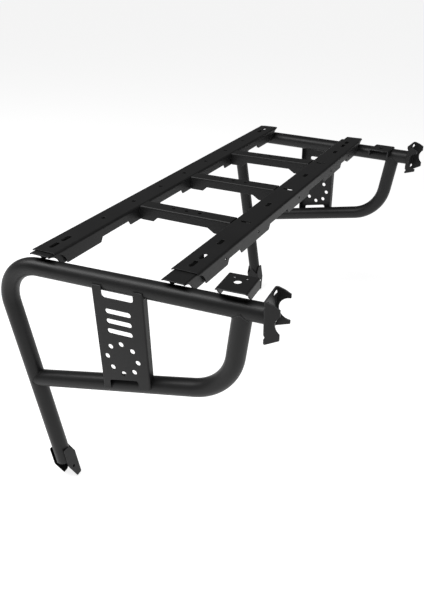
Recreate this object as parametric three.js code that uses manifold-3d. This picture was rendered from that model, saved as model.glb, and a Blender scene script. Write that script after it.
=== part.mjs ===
// Bed rack for a side-by-side or small truck: two bent-tube side frames joined by a slotted ladder deck.
// Millimetres, +Z up, +X toward the cab, +Y to the left. The deck is symmetrical about Y = 0.
import * as THREE from 'three';
import { mergeVertices } from 'three/addons/utils/BufferGeometryUtils.js';
import Module from 'manifold-3d';

const GAP = 0.3;                     // clearance between pieces that touch
const SHEET = 3;                     // rails, rungs, gusset plates and brackets
const SADDLE_SHEET = 4;

// Tubes of a side frame. Side frames are drawn in their own plane: x along the top tube, y outward.
const TUBE_R = 22.225;               // 1 3/4 in tube
const TUBE_WALL = 2.4;
const TUBE_SIDES = 20;
const FRAME_OFFSET = 636;            // side-frame plane from the deck centre, at x = 0
const TOE_IN = THREE.MathUtils.degToRad(4.7);
const TOP_END_X = 584.7;
const LEG_X = -54.4;                 // crossing of the leg axis and the lower-tube axis
const LEG_Z = -339;
const LEG_SLOPE = THREE.MathUtils.degToRad(81.7);
const LEG_LENGTH = 281;              // below the crossing
const HOOP_BEND_R = 103;
const LOWER_SLOPE = THREE.MathUtils.degToRad(12.6);
const LOWER_CORNER_X = 499.9;
const RISER_SLOPE = THREE.MathUtils.degToRad(81.9);
const LOWER_BEND_R = 133;

// Deck rails and rungs.
const RAIL_WIDTH = 70;
const RAIL_TOP = 43;
const FLANGE_DEEP = 5;
const FLANGE_SHALLOW = 17.5;
const FLANGE_STEP = 8;
const RAIL_BEND = 3.5;               // inner radii of the deck's folds; every other fold has 1 mm
const RUNG_BEND = 2.5;
const RAIL_END_ARC = 38;             // scoop at the flange ends, centred on arcEnd
const RAIL_HOLE_PITCH = 135;
const RAIL_HOLE_R = 6;
const RAIL_BOLT_Z = 23;
const RAIL_BOLT_R = 3.5;
const REAR_RAIL = {
  x: 0,
  half: 630,
  arcEnd: 630,
  deep: [[-70, 70], [200, 338], [465, 631]],
  roundHoles: [0, 1, 2, 3],
  lengthwiseSlots: [],
  crosswiseSlots: [],
  boltHoles: [0, 270],
};
const FRONT_RAIL = {
  x: 342,
  half: 570,
  arcEnd: 576,
  deep: [[-74, 74], [207, 364], [437, 577]],
  roundHoles: [],
  lengthwiseSlots: [1, 3],
  crosswiseSlots: [0, 2],
  boltHoles: [0, 270, 446],
};
const END_SLOTS = [38, 80];          // slot centres, back from the rail end
const END_SLOT_LENGTH = 32;
const SLOT_LENGTH = 30;
const SLOT_WIDTH = 12;
const RUNG_PITCH = 270;
const RUNG_WIDTH = 43;
const RUNG_TOP = 42.7;
const RUNG_DEEP = 4;
const RUNG_SHALLOW = 16.3;
const RUNG_HOLES = [164, 204, 244];
const RUNG_HOLE_R = 5.5;
const RUNG_RELIEF = { rear: [40, 54], front: [65, 46] };   // its two slopes, measured from the rung's ends
const DECK_CUT = [30, 50];           // heights between which holes are cut through the deck's tops

// Channels inside the rail ends.
const END_BRACKET_WIDTH = 58;
const END_BRACKET_LENGTH = 179;
const END_BRACKET_SLOT = { back: 64, length: 92, width: 16 };
const REAR_BRACKET_END = 645;
const FRONT_BRACKET_END = 618;
const END_BRACKET_BOTTOM = 5.5;
const END_BRACKET_ARC = 35;

// Gusset plate of a side frame.
const GUSSET = { x0: 177, x1: 308, flange: 20, tabTop: 0 };
const TOP_NOTCH = { from: 202, to: 283, depth: 28, radius: 8 };
const BOTTOM_NOTCH = { from: 197, to: 277, depth: 26, radius: 7 };
const RING = { x: 239.5, z: -187, pitchRadius: 41, holes: 8, radius: 6.5 };
const WINDOWS = { x: 240.5, z: [-62, -88, -114], length: 66, height: 13 };

// Accessory brackets: the right one stands on the crown of the top tube, the left one straddles the tube.
const RIGHT_TRAY = { x0: 476, x1: 546, inboard: -53, outboard: 22, top: 49, bottom: TUBE_R + GAP };
const LEFT_TRAY = { x0: 459, x1: 527, inboard: -54, outboard: 16, top: 26, bottom: 2 };
const TRAY_HOLES = {
  shift: -1.5,
  bigIn: 33,
  bigRadius: 8.5,
  smallIn: 14.5,
  smallSpread: 14,
  smallRadius: 3.1,
};

// Saddle that takes the cross tube of the roll cage.
const SADDLE = {
  back: 585,
  tip: 619.5,
  halfWidth: 37,
  top: 47,
  tipTop: 35,
  tipBottom: -34,
  heelIn: -44,
  heelOut: -50,
  slotY: 27,
  slotZ: 34.5,
  slotLength: 22,
  slotHeight: 12,
};
const CAGE_TUBE_R = 25.8;
const CAGE_AXIS_INBOARD_X = 619.5;
const CAGE_AXIS_OUTBOARD_X = 635;

// U-shaped foot bracket round the leg end, measured down the leg from the lower-tube crossing.
const FOOT = {
  top: 235,
  bottom: 339,
  webBottom: 333,
  outboard: 17,
  boltAlong: 301,
  boltY: -2,
  boltRadius: 4.5,
};

const wasm = await Module();
wasm.setup();

function bareCopy(geometry) {
  const bare = geometry.clone();
  bare.deleteAttribute('normal');
  bare.deleteAttribute('uv');
  return mergeVertices(bare, 1e-4);
}

function toSolid(geometry) {
  const merged = bareCopy(geometry);
  return new wasm.Manifold(new wasm.Mesh({
    numProp: 3,
    vertProperties: new Float32Array(merged.attributes.position.array),
    triVerts: new Uint32Array(merged.index.array),
  }));
}

function toGeometry(solid) {
  const mesh = solid.getMesh();
  const geometry = new THREE.BufferGeometry();
  geometry.setAttribute('position', new THREE.BufferAttribute(new Float32Array(mesh.vertProperties), 3));
  geometry.setIndex(new THREE.BufferAttribute(new Uint32Array(mesh.triVerts), 1));
  return geometry;
}

function cut(body, tools) {
  let solid = toSolid(body);
  for (const tool of tools) {
    solid = solid.subtract(toSolid(tool));
  }
  return toGeometry(solid);
}

function arcPoints(cx, cy, radius, fromDeg, toDeg, steps) {
  const points = [];
  for (let i = 0; i <= steps; i += 1) {
    const angle = THREE.MathUtils.degToRad(fromDeg + ((toDeg - fromDeg) * i) / steps);
    points.push([cx + radius * Math.cos(angle), cy + radius * Math.sin(angle)]);
  }
  return points;
}

// A closed outline extruded along one axis: (x, y) along z, (y, z) along x or (x, z) along y.
function prism(outline, axis, from, to) {
  const corners = outline.map(([a, b]) => (axis === 'y' ? new THREE.Vector2(b, a) : new THREE.Vector2(a, b)));
  const shape = new THREE.Shape(corners);
  const geometry = new THREE.ExtrudeGeometry(shape, { depth: to - from, bevelEnabled: false, steps: 1 });
  geometry.translate(0, 0, from);
  const basis = new THREE.Matrix4();
  const [ex, ey, ez] = [new THREE.Vector3(1, 0, 0), new THREE.Vector3(0, 1, 0), new THREE.Vector3(0, 0, 1)];
  if (axis === 'x') {
    basis.makeBasis(ey, ez, ex);
  } else if (axis === 'y') {
    basis.makeBasis(ez, ex, ey);
  }
  return geometry.applyMatrix4(basis);
}

function disc(cx, cy, radius, steps = 16) {
  return arcPoints(cx, cy, radius, 0, 360 - 360 / steps, steps - 1);
}

// Rounded slot centred on (cx, cy), lying along its first axis, or along the second when upright.
function slot(cx, cy, length, width, upright = false) {
  const reach = (length - width) / 2;
  const start = upright ? 0 : -90;
  const [dx, dy] = upright ? [0, reach] : [reach, 0];
  return [
    ...arcPoints(cx + dx, cy + dy, width / 2, start, start + 180, 6),
    ...arcPoints(cx - dx, cy - dy, width / 2, start + 180, start + 360, 6),
  ];
}

// Inverted channel in cross section.
function channelOutline(a0, a1, bottom, top, sheet, inner = 1) {
  const outer = sheet + inner;
  return [
    [a0, bottom],
    [a0 + sheet, bottom],
    ...arcPoints(a0 + outer, top - outer, inner, 180, 90, 2),
    ...arcPoints(a1 - outer, top - outer, inner, 90, 0, 2),
    [a1 - sheet, bottom],
    [a1, bottom],
    ...arcPoints(a1 - outer, top - outer, outer, 0, 90, 3),
    ...arcPoints(a0 + outer, top - outer, outer, 90, 180, 3),
  ];
}

class BentPath extends THREE.Curve {
  constructor(start, corner, end, bendRadius) {
    super();
    const inward = corner.clone().sub(start).normalize();
    const outward = end.clone().sub(corner).normalize();
    const turn = inward.angleTo(outward);
    const tangentLength = bendRadius * Math.tan(turn / 2);
    const bendStart = corner.clone().addScaledVector(inward, -tangentLength);
    const toCentre = outward.clone().addScaledVector(inward, -outward.dot(inward)).normalize();
    this.steps = Math.ceil(turn / THREE.MathUtils.degToRad(10.5));
    this.stations = [{ point: start, tangent: inward }];
    for (let i = 0; i <= this.steps; i += 1) {
      const angle = (turn * i) / this.steps;
      const point = bendStart.clone()
        .addScaledVector(inward, bendRadius * Math.sin(angle))
        .addScaledVector(toCentre, bendRadius * (1 - Math.cos(angle)));
      const tangent = inward.clone()
        .multiplyScalar(Math.cos(angle))
        .addScaledVector(toCentre, Math.sin(angle));
      this.stations.push({ point, tangent });
    }
    this.stations.push({ point: end, tangent: outward });
  }

  station(u) {
    return this.stations[Math.round(u * (this.stations.length - 1))];
  }

  getPointAt(u) {
    return this.station(u).point.clone();
  }

  getTangentAt(u) {
    return this.station(u).tangent.clone();
  }
}

function bentTube(start, corner, end, bendRadius) {
  const path = new BentPath(start, corner, end, bendRadius);
  const shape = new THREE.Shape(disc(0, 0, TUBE_R, TUBE_SIDES).map(([a, b]) => new THREE.Vector2(a, b)));
  const bore = disc(0, 0, TUBE_R - TUBE_WALL, TUBE_SIDES).reverse();
  shape.holes.push(new THREE.Path(bore.map(([a, b]) => new THREE.Vector2(a, b))));
  return new THREE.ExtrudeGeometry(shape, { steps: path.stations.length - 1, extrudePath: path });
}

function rod(start, end, radius, sides = 32) {
  const axis = end.clone().sub(start);
  const geometry = new THREE.CylinderGeometry(radius, radius, axis.length(), sides);
  const up = new THREE.Vector3(0, 1, 0);
  geometry.applyQuaternion(new THREE.Quaternion().setFromUnitVectors(up, axis.clone().normalize()));
  const middle = start.clone().add(end).multiplyScalar(0.5);
  return geometry.translate(middle.x, middle.y, middle.z);
}

// From the side-frame plane to its place on the left of the deck.
function placeSideFrame(geometry) {
  geometry.rotateZ(-TOE_IN);
  return geometry.translate(0, FRAME_OFFSET, 0);
}

function mirrored(geometry) {
  const other = geometry.clone().scale(1, -1, 1);
  const flipped = other.index.array;
  for (let i = 0; i < flipped.length; i += 3) {
    [flipped[i + 1], flipped[i + 2]] = [flipped[i + 2], flipped[i + 1]];
  }
  return other;
}

// ---- side frame tubes ----
function lowerAxisZ(x) {
  return LEG_Z + (x - LEG_X) * Math.tan(LOWER_SLOPE);
}

const legDown = new THREE.Vector3(Math.cos(LEG_SLOPE), 0, -Math.sin(LEG_SLOPE));
const legAxis = new THREE.Vector3(LEG_X, 0, LEG_Z);
const hoopCorner = legAxis.clone().addScaledVector(legDown, LEG_Z / Math.sin(LEG_SLOPE));
const topStart = new THREE.Vector3(TOP_END_X, 0, 0);
const legEnd = legAxis.clone().addScaledVector(legDown, LEG_LENGTH);
const lowerCorner = new THREE.Vector3(LOWER_CORNER_X, 0, lowerAxisZ(LOWER_CORNER_X));
const riserEnd = new THREE.Vector3(LOWER_CORNER_X - lowerCorner.z / Math.tan(RISER_SLOPE), 0, 0);

const clearTop = rod(new THREE.Vector3(-40, 0, 0), new THREE.Vector3(700, 0, 0), TUBE_R + GAP);
const clearLeg = rod(hoopCorner, legEnd, TUBE_R + GAP);
const clearLower = rod(legAxis, lowerCorner, TUBE_R + GAP);

function hoopTube() {
  return bentTube(topStart, hoopCorner, legEnd, HOOP_BEND_R);
}

function lowerTube() {
  return cut(bentTube(legAxis, lowerCorner, riserEnd, LOWER_BEND_R), [clearTop, clearLeg]);
}

// ---- gusset plate ----
function gussetPlate() {
  const inner = TUBE_R + GAP;
  const outer = inner + SHEET;
  const { x0, x1, flange, tabTop } = GUSSET;
  const section = channelOutline(x0, x1, outer - flange, outer, SHEET);
  const plate = prism(section, 'z', lowerAxisZ(x0) - 10, tabTop);
  const high = TOP_NOTCH;
  const highZ = high.radius - high.depth;
  const notchTop = [
    [high.from, 1],
    ...arcPoints(high.from + high.radius, highZ, high.radius, 180, 270, 4),
    ...arcPoints(high.to - high.radius, highZ, high.radius, 270, 360, 4),
    [high.to, 1],
  ];
  const low = BOTTOM_NOTCH;
  const lowX = [low.from + low.radius, low.to - low.radius];
  const lowZ = lowX.map((x) => lowerAxisZ(x) + low.depth - low.radius);
  const leaning = 90 + THREE.MathUtils.radToDeg(LOWER_SLOPE);
  const notchBottom = [
    [low.from, lowerAxisZ(low.from) - 40],
    [low.to, lowerAxisZ(low.to) - 40],
    ...arcPoints(lowX[1], lowZ[1], low.radius, 0, leaning, 4),
    ...arcPoints(lowX[0], lowZ[0], low.radius, leaning, 180, 4),
  ];
  const belowTabs = [
    [x0 - 1, lowerAxisZ(x0) - 20],
    [x1 + 1, lowerAxisZ(x0) - 20],
    [x1 + 1, lowerAxisZ(x1 + 1)],
    [x0 - 1, lowerAxisZ(x0 - 1)],
  ];
  const tools = [
    prism(notchTop, 'y', 0, 40),
    prism(notchBottom, 'y', 0, 40),
    prism(belowTabs, 'y', 0, 40),
    clearTop,
    clearLower,
  ];
  for (let i = 0; i < RING.holes; i += 1) {
    const angle = (2 * Math.PI * i) / RING.holes;
    const x = RING.x + RING.pitchRadius * Math.sin(angle);
    const z = RING.z + RING.pitchRadius * Math.cos(angle);
    tools.push(prism(disc(x, z, RING.radius), 'y', 0, 40));
  }
  for (const z of WINDOWS.z) {
    tools.push(prism(slot(WINDOWS.x, z, WINDOWS.length, WINDOWS.height), 'y', 0, 40));
  }
  return cut(plate, tools);
}

// ---- accessory brackets, cage saddle and foot bracket ----
function accessoryBracket({ x0, x1, inboard, outboard, top, bottom }, trims) {
  const body = prism(channelOutline(x0, x1, bottom, top, SHEET), 'y', inboard, outboard);
  const { shift, bigIn, bigRadius, smallIn, smallSpread, smallRadius } = TRAY_HOLES;
  const middle = (x0 + x1) / 2 + shift;
  const holes = [
    disc(middle, inboard + bigIn, bigRadius, 20),
    disc(middle - smallSpread, inboard + smallIn, smallRadius, 12),
    disc(middle + smallSpread, inboard + smallIn, smallRadius, 12),
  ];
  return cut(body, [...trims, ...holes.map((hole) => prism(hole, 'z', top - 10, top + 10))]);
}

// The outboard corners of the right bracket's legs sweep up clear of the tube.
function legScoop({ x0, x1, outboard, top, bottom }) {
  const outline = [
    [-3, bottom - 1],
    [-3, bottom + 1.5],
    [6, bottom + 7.5],
    [11, bottom + 15.5],
    [outboard, top - SHEET - 1],
    [outboard + 1, bottom - 1],
  ];
  return prism(outline, 'x', x0 - 1, x1 + 1);
}

function cageSaddle() {
  const { back, tip, halfWidth, top, tipTop, tipBottom, heelIn, heelOut } = SADDLE;
  const { slotY, slotZ, slotLength, slotHeight } = SADDLE;
  const sheet = SADDLE_SHEET;
  const bend = sheet + 1;
  const section = [
    ...arcPoints(back + bend, -halfWidth + bend, bend, 180, 270, 3),
    [tip, -halfWidth],
    [tip, -halfWidth + sheet],
    ...arcPoints(back + bend, -halfWidth + bend, 1, 270, 180, 2),
    ...arcPoints(back + bend, halfWidth - bend, 1, 180, 90, 2),
    [tip, halfWidth - sheet],
    [tip, halfWidth],
    ...arcPoints(back + bend, halfWidth - bend, bend, 90, 180, 3),
  ];
  const body = prism(section, 'z', heelOut, top);
  const above = [
    [back + 7, top],
    [back + 21, top - 4.5],
    [tip, tipTop],
    [tip + 1, tipTop],
    [tip + 1, top + 1],
    [back + 7, top + 1],
  ];
  const below = (heel) => [
    [back + bend, heelOut - 1],
    [tip + 1, heelOut - 1],
    [tip + 1, tipBottom],
    [tip, tipBottom],
    [back + bend, heel],
  ];
  const heelLine = [
    [-halfWidth - 1, heelOut - 1],
    [halfWidth, heelOut - 1],
    [halfWidth, heelOut],
    [-halfWidth - 1, heelIn],
  ];
  const cageSlope = (CAGE_AXIS_OUTBOARD_X - CAGE_AXIS_INBOARD_X) / (2 * halfWidth - sheet);
  const cageX = (CAGE_AXIS_INBOARD_X + CAGE_AXIS_OUTBOARD_X) / 2;
  const cage = rod(
    new THREE.Vector3(cageX - 80 * cageSlope, -80, 0),
    new THREE.Vector3(cageX + 80 * cageSlope, 80, 0),
    CAGE_TUBE_R,
    40,
  );
  const tools = [
    prism(above, 'y', -50, 50),
    prism(below(heelIn), 'y', -50, 0),
    prism(below(heelOut), 'y', 0, 50),
    prism(heelLine, 'x', back - 1, tip + 1),
    cage,
  ];
  for (const y of [-slotY, slotY]) {
    for (const z of [-slotZ, slotZ]) {
      tools.push(prism(slot(y, z, slotLength, slotHeight), 'x', back - 1, back + sheet));
    }
  }
  return cut(body, tools);
}

function footBracket() {
  const { top, bottom, webBottom, outboard, boltAlong, boltY, boltRadius } = FOOT;
  const reach = TUBE_R + GAP + SHEET;
  const blank = prism(channelOutline(-reach, reach, -outboard, reach, SHEET), 'z', -bottom, -top);
  blank.rotateZ(Math.PI);
  const webPeak = [
    [-reach - 1, -top + 1],
    [-reach - 1, -top - 29],
    [0, -top - 3],
    [reach + 1, -top - 29],
    [reach + 1, -top + 1],
  ];
  const shoulder = [
    [-6, -top + 1],
    [-6, -top],
    [-reach + 2, -top - 27],
    [-reach - 1, -top - 27],
    [-reach - 1, -top + 1],
  ];
  const toe = [
    [outboard + 1, -bottom + 50],
    [outboard + 1, -bottom - 1],
    [-5, -bottom - 1],
    [-5, -bottom],
  ];
  const webFoot = [
    [-reach + SHEET + 1.5, -bottom - 1],
    [reach - SHEET - 1.5, -bottom - 1],
    [reach - SHEET - 1.5, -webBottom],
    [-reach + SHEET + 1.5, -webBottom],
  ];
  const bracket = cut(blank, [
    prism(webPeak, 'y', -reach - 1, -reach + SHEET + 1),
    prism(shoulder, 'x', -reach - 1, -reach + SHEET + 0.2),
    prism(shoulder, 'x', reach - SHEET - 0.2, reach + 1),
    prism(toe, 'x', -reach - 1, reach + 1),
    prism(webFoot, 'y', -reach - 1, -reach + SHEET + 2),
    prism(disc(boltY, -boltAlong, boltRadius, 16), 'x', -reach - 1, reach + 1),
  ]);
  bracket.rotateY(LEG_SLOPE - Math.PI / 2);
  return bracket.translate(LEG_X, 0, LEG_Z);
}

// ---- deck ----
function rail({ x, half, arcEnd, deep, roundHoles, lengthwiseSlots, crosswiseSlots, boltHoles }) {
  const width = RAIL_WIDTH;
  const middle = x + width / 2;
  const section = channelOutline(x, x + width, FLANGE_DEEP, RAIL_TOP, SHEET, RAIL_BEND);
  const body = prism(section, 'y', -half, half);
  const tools = [];
  for (const side of [-1, 1]) {
    for (let i = 0; i + 1 < deep.length; i += 1) {
      const from = deep[i][1];
      const to = deep[i + 1][0];
      const relief = [
        [from, FLANGE_DEEP - 2],
        [from, FLANGE_DEEP],
        [from + FLANGE_STEP, FLANGE_SHALLOW],
        [to - FLANGE_STEP, FLANGE_SHALLOW],
        [to, FLANGE_DEEP],
        [to, FLANGE_DEEP - 2],
      ].map(([y, z]) => [side * y, z]);
      tools.push(prism(relief, 'x', x - 1, x + width + 1));
    }
    const end = new THREE.Vector3(x - 1, side * arcEnd, 0);
    tools.push(rod(end, new THREE.Vector3(x + width + 1, side * arcEnd, 0), RAIL_END_ARC));
    for (const back of END_SLOTS) {
      const endSlot = slot(middle, side * (half - back), END_SLOT_LENGTH, SLOT_WIDTH, true);
      tools.push(prism(endSlot, 'z', ...DECK_CUT));
    }
  }
  const signs = (n) => (n === 0 ? [0] : [-n, n]);
  for (const y of roundHoles.flatMap(signs)) {
    tools.push(prism(disc(middle, y * RAIL_HOLE_PITCH, RAIL_HOLE_R), 'z', ...DECK_CUT));
  }
  for (const y of lengthwiseSlots.flatMap(signs)) {
    tools.push(prism(slot(middle, y * RAIL_HOLE_PITCH, SLOT_LENGTH, SLOT_WIDTH, true), 'z', ...DECK_CUT));
  }
  for (const y of crosswiseSlots.flatMap(signs)) {
    tools.push(prism(slot(middle, y * RAIL_HOLE_PITCH, SLOT_LENGTH, SLOT_WIDTH), 'z', ...DECK_CUT));
  }
  for (const y of boltHoles.flatMap(signs)) {
    tools.push(prism(disc(y, RAIL_BOLT_Z, RAIL_BOLT_R, 12), 'x', x - 1, x + width + 1));
  }
  return cut(body, tools);
}

function rung(y) {
  const from = REAR_RAIL.x + RAIL_WIDTH + GAP;
  const to = FRONT_RAIL.x - GAP;
  const half = RUNG_WIDTH / 2;
  const { rear, front } = RUNG_RELIEF;
  const section = channelOutline(y - half, y + half, RUNG_DEEP, RUNG_TOP, SHEET, RUNG_BEND);
  const body = prism(section, 'x', from, to);
  const relief = [
    [from + rear[0], RUNG_DEEP - 2],
    [from + rear[0], RUNG_DEEP],
    [from + rear[1], RUNG_SHALLOW],
    [to - front[0], RUNG_SHALLOW],
    [to - front[1], RUNG_DEEP],
    [to - front[1], RUNG_DEEP - 2],
  ];
  const tools = [prism(relief, 'y', y - half - 1, y + half + 1)];
  for (const x of RUNG_HOLES) {
    tools.push(prism(disc(x, y, RUNG_HOLE_R, 12), 'z', ...DECK_CUT));
  }
  return cut(body, tools);
}

function railEndBracket({ x, half }, end) {
  const middle = x + RAIL_WIDTH / 2;
  const top = RAIL_TOP - SHEET - GAP;
  const reach = END_BRACKET_WIDTH / 2;
  const section = channelOutline(middle - reach, middle + reach, END_BRACKET_BOTTOM, top, SHEET);
  const { back, length, width } = END_BRACKET_SLOT;
  const arcFrom = new THREE.Vector3(middle - reach - 1, end, 0);
  const arcTo = new THREE.Vector3(middle + reach + 1, end, 0);
  return cut(prism(section, 'y', end - END_BRACKET_LENGTH, end), [
    placeSideFrame(clearTop.clone()),
    prism(slot(middle, half - back, length, width, true), 'z', ...DECK_CUT),
    rod(arcFrom, arcTo, END_BRACKET_ARC),
  ]);
}

// ---- assembly ----
const group = new THREE.Group();
group.name = 'cargo_bed_rack';

function add(name, geometry) {
  const indexed = bareCopy(geometry);
  indexed.computeVertexNormals();
  const material = new THREE.MeshStandardMaterial({ color: 0x1b1c1e, roughness: 0.55, metalness: 0.3 });
  const mesh = new THREE.Mesh(indexed, material);
  mesh.name = name;
  group.add(mesh);
}

function addPair(name, geometry) {
  const left = bareCopy(geometry);
  add(`left_${name}`, left);
  add(`right_${name}`, mirrored(left));
}

add('rear_rail', rail(REAR_RAIL));
add('front_rail', rail(FRONT_RAIL));
add('center_rung', rung(0));
add('left_rung', rung(RUNG_PITCH));
add('right_rung', rung(-RUNG_PITCH));

addPair('hoop_tube', placeSideFrame(hoopTube()));
addPair('lower_tube', placeSideFrame(lowerTube()));
addPair('gusset_plate', placeSideFrame(gussetPlate()));
const leftTray = accessoryBracket(LEFT_TRAY, [clearTop]);
const rightTray = accessoryBracket(RIGHT_TRAY, [legScoop(RIGHT_TRAY)]);
add('left_accessory_bracket', placeSideFrame(leftTray));
add('right_accessory_bracket', mirrored(placeSideFrame(rightTray)));
addPair('cage_saddle', placeSideFrame(cageSaddle()));
addPair('foot_bracket', placeSideFrame(footBracket()));
addPair('rear_rail_bracket', railEndBracket(REAR_RAIL, REAR_BRACKET_END));
addPair('front_rail_bracket', railEndBracket(FRONT_RAIL, FRONT_BRACKET_END));

// Origin at the middle of the footprint, on the lowest point.
const box = new THREE.Box3().setFromObject(group);
const centre = box.getCenter(new THREE.Vector3());
for (const mesh of group.children) {
  mesh.geometry.translate(-centre.x, -centre.y, -box.min.z);
}

export default group;
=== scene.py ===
"""Cargo bed rack: two bent-tube side frames carrying a slotted ladder deck, in black satin powder coat.

Sheet-metal pieces are drawn as flat patterns, given rounded cut edges and folded. Tubes are swept, and coped
where they meet another tube. Lengths are in millimetres until mesh_object() writes them in metres.
"""
import math

import bmesh
import bpy
from mathutils import Matrix, Vector
from mathutils.geometry import tessellate_polygon


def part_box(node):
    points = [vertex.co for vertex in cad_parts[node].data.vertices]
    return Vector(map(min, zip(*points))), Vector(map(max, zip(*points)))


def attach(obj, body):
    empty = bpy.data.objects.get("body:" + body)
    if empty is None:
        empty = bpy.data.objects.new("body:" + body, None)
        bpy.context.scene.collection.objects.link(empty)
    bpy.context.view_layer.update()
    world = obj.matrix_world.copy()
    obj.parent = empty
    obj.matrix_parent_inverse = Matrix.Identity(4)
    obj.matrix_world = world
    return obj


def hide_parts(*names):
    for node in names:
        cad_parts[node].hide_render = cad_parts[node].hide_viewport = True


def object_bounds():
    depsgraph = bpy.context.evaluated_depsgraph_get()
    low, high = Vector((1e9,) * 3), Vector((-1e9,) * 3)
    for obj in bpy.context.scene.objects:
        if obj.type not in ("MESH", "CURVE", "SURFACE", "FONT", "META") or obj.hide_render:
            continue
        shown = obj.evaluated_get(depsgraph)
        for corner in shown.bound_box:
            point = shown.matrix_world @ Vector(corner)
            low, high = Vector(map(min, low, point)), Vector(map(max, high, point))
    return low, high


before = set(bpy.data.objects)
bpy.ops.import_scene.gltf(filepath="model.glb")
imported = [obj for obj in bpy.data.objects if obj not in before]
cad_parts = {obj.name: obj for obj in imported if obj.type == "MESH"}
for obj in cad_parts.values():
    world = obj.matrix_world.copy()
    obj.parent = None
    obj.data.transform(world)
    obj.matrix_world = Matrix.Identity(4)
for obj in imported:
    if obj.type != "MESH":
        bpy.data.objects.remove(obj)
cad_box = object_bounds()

MM = 0.001
SHEET = 3.0
EDGE = 0.55                  # radius of a powder-coated cut edge
CLEAR = 0.3                  # gap left between neighbouring pieces
FOLD_STEPS = 5
DECK_CORNER = 1.5            # easing of the outlines' corners
BRACKET_CORNER = 1.2
GUSSET_CORNER = 1.0
SHALLOW_CORNER = math.radians(24)        # corners that turn by less are not eased
LONGEST_EASING = 0.45        # share of a side that the easing of one corner may take
MITRE_LIMIT = 0.3            # keeps an inset corner from running far out
CORNER_STEPS = 3
HOLE_SIDES = 32
BOLT_SIDES = 24
SLOT_END_STEPS = 12
SHARP_ANGLE = math.radians(50)

HOLE_WEAR = 0.2              # wear of a hole's rim, where an outline's is 1
OUTLINE_SHADE = 0.6          # share of the sheet's thickness behind which the inner face carries painted shade
HOLE_SHADE = 0.3

TUBE_R = 22.1                # round tube, drawn just inside its faceted solid
TUBE_SEAT = 22.525           # cut edges that sit on a tube follow this radius
TUBE_WALL = 2.3
TUBE_SIDES = 56
BEND_STEP = 3.0              # degrees
COPE_WEAR = 3.0              # length over which wear fades at a coped end
SAWN_WEAR = 2.0              # and at a sawn one
SAWN_ROUND = 0.6
SAWN_SHOULDER = 0.2
LIP_ROUND = 0.4
FRAME_OFFSET = 636.0
TOE_IN = math.radians(4.7)
TOP_END_X = 584.7
LEG_X = -54.4
LEG_Z = -339.0
LEG_SLOPE = math.radians(81.7)
LEG_LENGTH = 281.0
HOOP_BEND_R = 103.0
LOWER_SLOPE = math.radians(12.6)
LOWER_CORNER_X = 499.9
RISER_SLOPE = math.radians(81.9)
LOWER_BEND_R = 133.0

RAIL_WIDTH = 70.0
RAIL_TOP = 43.0
FLANGE_DEEP = 5.0
FLANGE_SHALLOW = 17.5
FLANGE_STEP = 8.0
RAIL_BEND = 3.5
RUNG_BEND = 2.5
RAIL_END_ARC = 38.0
RAIL_END_STEPS = 16
RAIL_HOLE_PITCH = 135.0
RAIL_BOLT_Z = 23.0
RAIL_BOLT_R = 3.5
REAR_RAIL = {
    "x": 0.0,
    "half": 630.0,
    "arc_end": 630.0,
    "deep": ((-70, 70), (200, 338), (465, 631)),
    "holes": {"round": (0, 1, 2, 3), "along": (), "across": (), "bolts": (0, 270)},
}
FRONT_RAIL = {
    "x": 342.0,
    "half": 570.0,
    "arc_end": 576.0,
    "deep": ((-74, 74), (207, 364), (437, 577)),
    "holes": {"round": (), "along": (1, 3), "across": (0, 2), "bolts": (0, 270, 446)},
}
RAIL_HOLE_R = 6.0
END_SLOTS = (38.0, 80.0)     # slot centres, back from the rail end
END_SLOT_LENGTH = 32.0
SLOT_LENGTH = 30.0
SLOT_WIDTH = 12.0
RUNG_WIDTH = 43.0
RUNG_TOP = 42.7
RUNG_DEEP = 4.0
RUNG_SHALLOW = 16.3
RUNG_REAR_STEP = (40.0, 54.0)
RUNG_FRONT_STEP = (65.0, 46.0)
RUNG_HOLES = (164.0, 204.0, 244.0)
RUNG_HOLE_R = 5.5
RUNGS = {"center_rung": 0.0, "left_rung": 270.0, "right_rung": -270.0}

BRACKET_WIDTH = 58.0
BRACKET_LENGTH = 179.0
BRACKET_SLOT_BACK = 64.0
BRACKET_SLOT_LENGTH = 92.0
BRACKET_SLOT_WIDTH = 16.0
BRACKET_BOTTOM = 5.5
BRACKET_ARC = 35.0
BRACKET_STEPS = 24
REAR_BRACKET_END = 645.0
FRONT_BRACKET_END = 618.0

GUSSET_X0 = 177.0
GUSSET_X1 = 308.0
GUSSET_FLANGE = 20.0
GUSSET_FLANGE_ROOT = 2.2
GUSSET_FLANGE_STEPS = 14
TOP_NOTCH = {"x0": 202.0, "x1": 283.0, "height": 20.0, "corner": 8.0}     # height of the corners' centres
BOTTOM_NOTCH = {"x0": 197.0, "x1": 277.0, "height": 19.0, "corner": 7.0}
NOTCH_STEPS = 6
RING_CENTRE = (239.5, -187.0)
RING_PITCH_R = 41.0
RING_HOLES = 8
RING_HOLE_R = 6.5
WINDOW_X = 240.5
WINDOW_Z = (-62.0, -88.0, -114.0)
WINDOW_LENGTH = 66.0
WINDOW_HEIGHT = 13.0

RIGHT_TRAY = {"x0": 476.0, "x1": 546.0, "inboard": -53.0, "outboard": 22.0, "top": 49.0}
LEFT_TRAY = {"x0": 459.0, "x1": 527.0, "inboard": -54.0, "outboard": 16.0, "top": 26.0, "bottom": 2.0}
RIGHT_TRAY_CURVE = ((-3.0, 0.0), (-3.0, 1.5), (6.0, 7.5), (11.0, 15.5))    # (off, height over the tube)
TRAY_HOLE = {"back": 33.0, "r": 8.5, "sides": 40}
TRAY_SMALL_HOLES = {"back": 14.5, "r": 3.1, "sides": 20, "aside": 14.0}
TRAY_HOLES_SHIFT = -1.5
TRAY_SCOOP_STEPS = 24

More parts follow.
